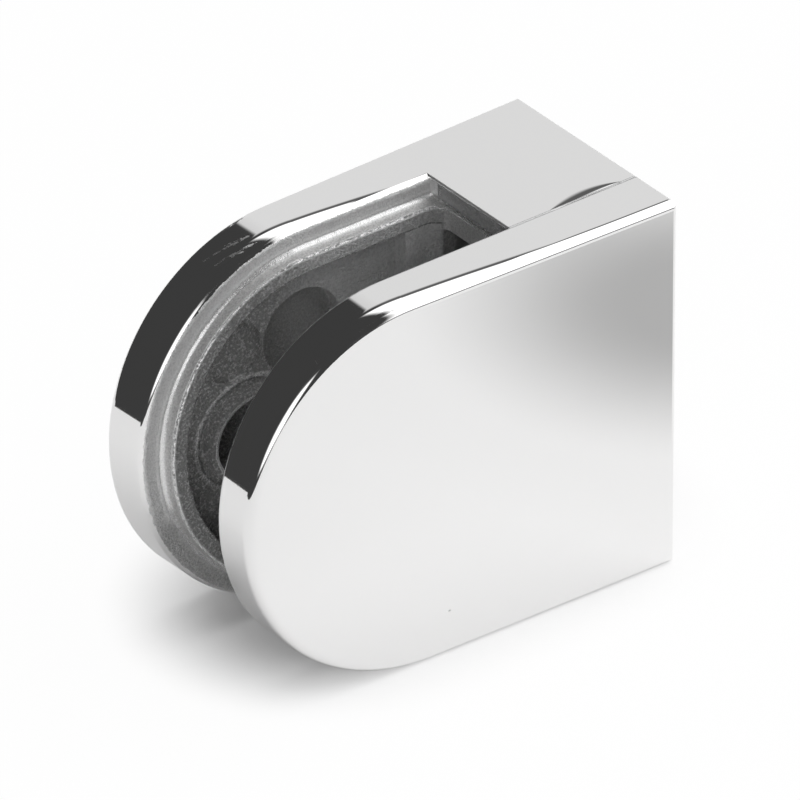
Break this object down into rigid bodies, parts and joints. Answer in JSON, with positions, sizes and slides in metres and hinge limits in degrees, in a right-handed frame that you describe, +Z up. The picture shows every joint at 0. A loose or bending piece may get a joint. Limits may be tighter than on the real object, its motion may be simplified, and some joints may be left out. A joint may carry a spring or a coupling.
{
  "type": "glass panel clamp",
  "caption": "Round-nosed clamp of polished cast steel that grips the edge of a glass panel between a fixed jaw and a screwed cover plate, and bolts to a flat post.",
  "frame": {"origin": "middle of the flat mounting face, where the fixing hole opens in it", "axes": "+X out of the mounting face towards the post, nose and glass slot towards -X, cover plate on the -Y side, +Z up along the mounting face"},
  "size_m": [0.0498, 0.0242, 0.04],
  "materials": {
    "polished_steel": "mirror-polished outside, blasted casting inside",
    "polished_cover": "mirror-polished outside, blasted casting inside",
    "screw_steel": "turned stainless steel"
  },
  "bodies": {
    "root": {"base_body": "polished_steel", "cover_plate": "polished_cover", "clamp_screws": "screw_steel"}
  },
  "joints": []
}
